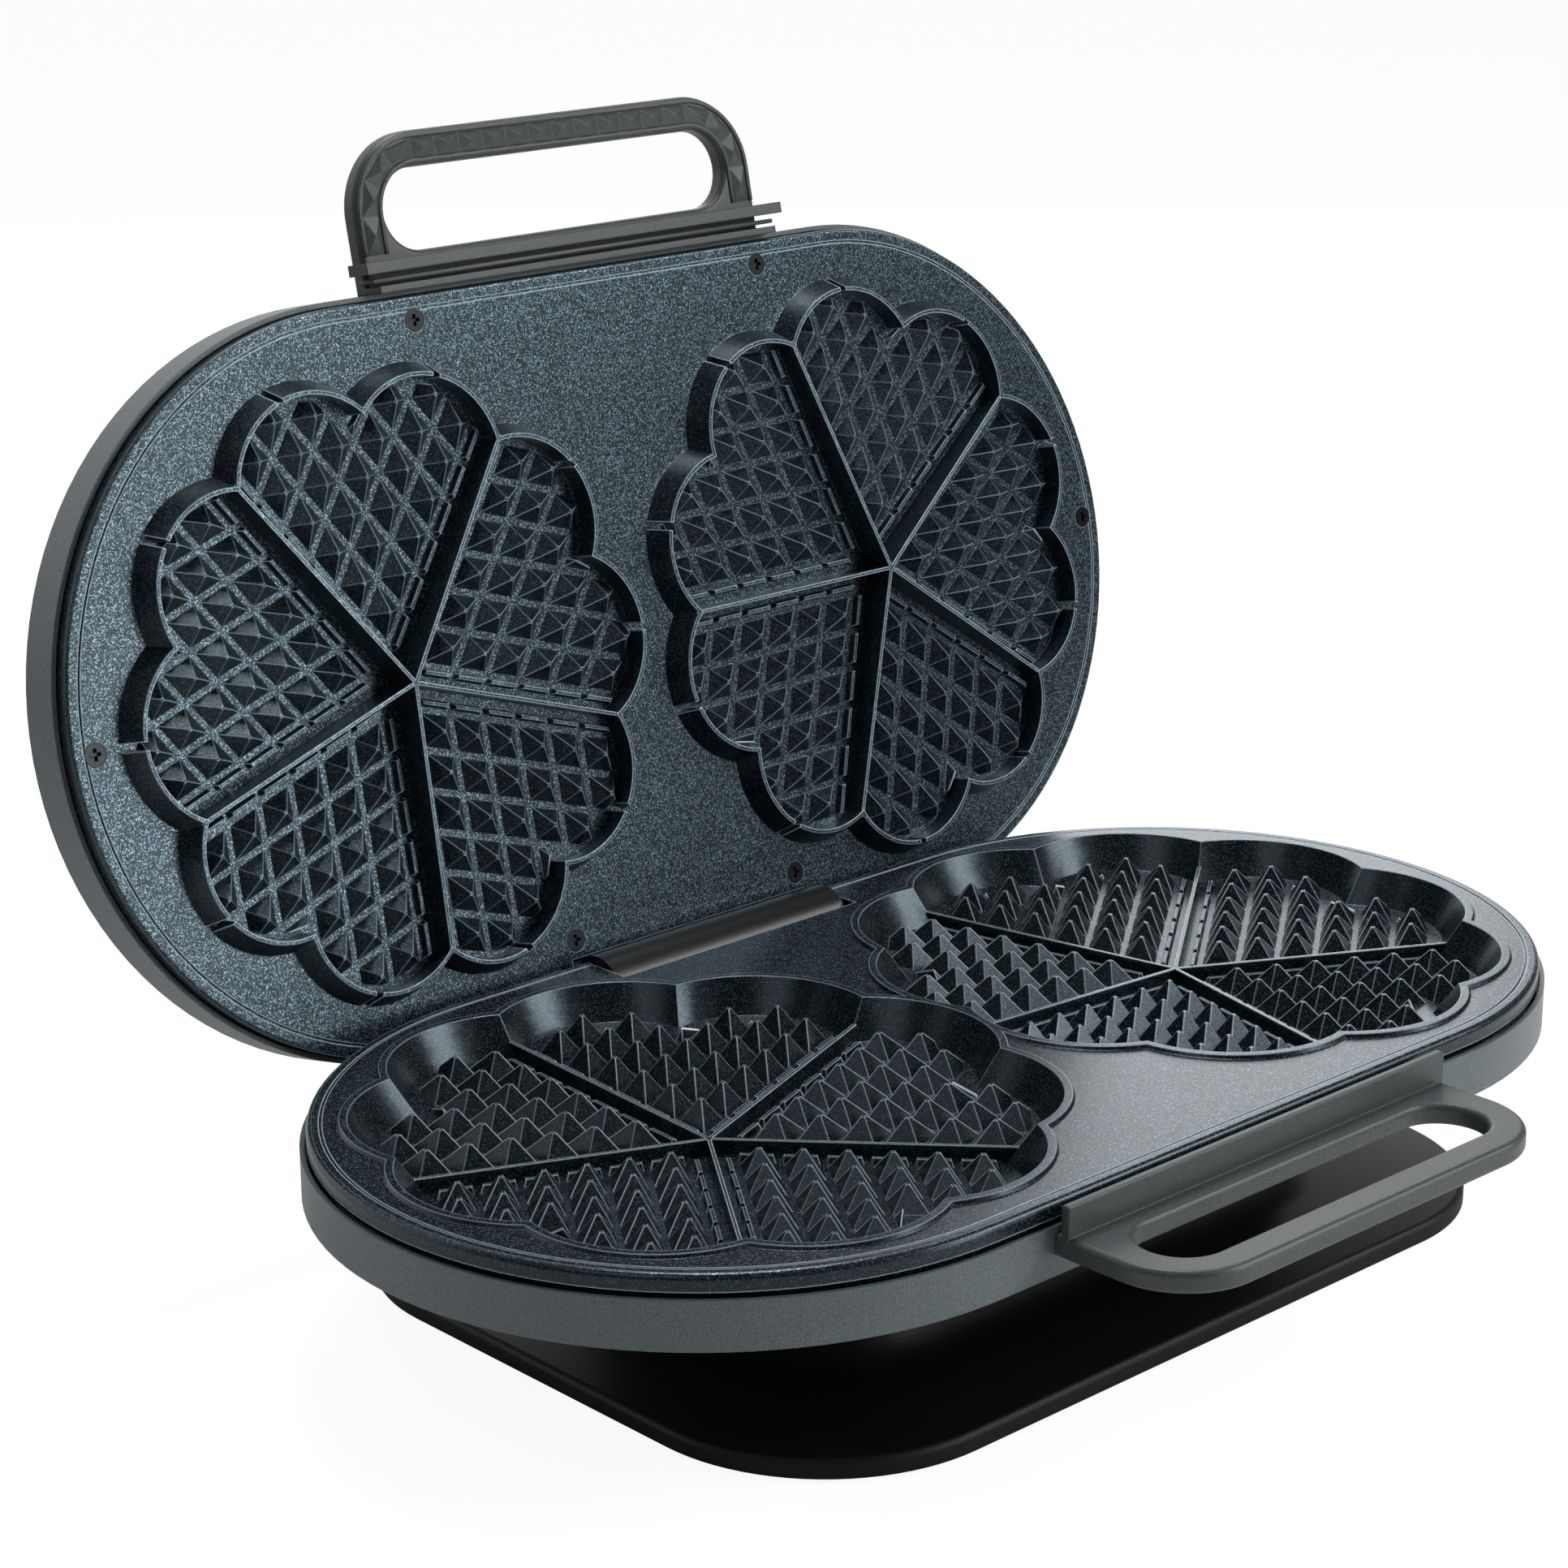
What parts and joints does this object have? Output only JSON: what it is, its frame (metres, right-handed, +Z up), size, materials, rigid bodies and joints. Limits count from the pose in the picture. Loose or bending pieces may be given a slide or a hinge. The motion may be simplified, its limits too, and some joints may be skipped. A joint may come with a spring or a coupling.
{
  "type": "double waffle maker",
  "caption": "Countertop waffle iron with a hinged lid, heart-flower cooking plates side by side, handles front and top, and a flared pedestal foot.",
  "frame": {"origin": "on the table, under the middle of the whole appliance with its lid open", "axes": "+Z up, handles towards -Y, hinge along X at the rear"},
  "size_m": [0.452, 0.3681, 0.34],
  "materials": {
    "black_base": "satin black moulded plastic",
    "foot_rubber": "matt rubber",
    "steel_screw": "zinc-plated steel",
    "dark_screw": "black nickel plated steel",
    "white_block": "moulded phenolic",
    "grey_casing": "fine-grained dark grey plastic",
    "grey_handle": "fine-grained dark grey plastic",
    "steel_pin": "drawn steel",
    "lower_nonstick": "speckled black nonstick coating on cast aluminium",
    "upper_nonstick": "speckled blue-black nonstick coating on cast aluminium",
    "heater_tube": "oxidised steel sheath",
    "shield_sheet": "mill finish sheet",
    "lamp_lens": "clear red lamp lens"
  },
  "bodies": {
    "base_unit": {"base": "black_base", "base_cover": "black_base", "rubber_feet": "foot_rubber", "base_screws": "steel_screw", "cord_gland": "foot_rubber", "terminal_block": "white_block", "lower_housing": "grey_casing", "hinge_pins": "steel_pin", "lower_cooking_plate": "lower_nonstick", "lower_plate_screws": "steel_screw", "lower_heating_element": "heater_tube", "lower_heat_shield": "shield_sheet", "thermal_fuse": "shield_sheet", "lower_handle": "grey_handle", "lower_handle_screws": "steel_screw"},
    "lid": {"upper_housing": "grey_casing", "upper_cooking_plate": "upper_nonstick", "upper_plate_screws": "dark_screw", "upper_heating_element": "heater_tube", "upper_heat_shield": "shield_sheet", "upper_handle": "grey_handle", "upper_handle_screws": "steel_screw", "thermostat": "white_block", "indicator_lenses": "lamp_lens"},
    "dial": {"temperature_dial": "grey_handle", "dial_shaft": "steel_pin"}
  },
  "joints": [
    {"name": "lid_hinge", "type": "hinge", "parent": "base_unit", "child": "lid", "pos_m": [0, 0.0998, 0.0667], "axis": [1, 0, 0], "range_deg": [0, 102.2]},
    {"name": "dial_turn", "type": "hinge", "parent": "lid", "child": "dial", "pos_m": [0, 0.13367, 0.17509], "axis": [0, 0.9774, -0.2113], "range_deg": [0, 270]}
  ]
}
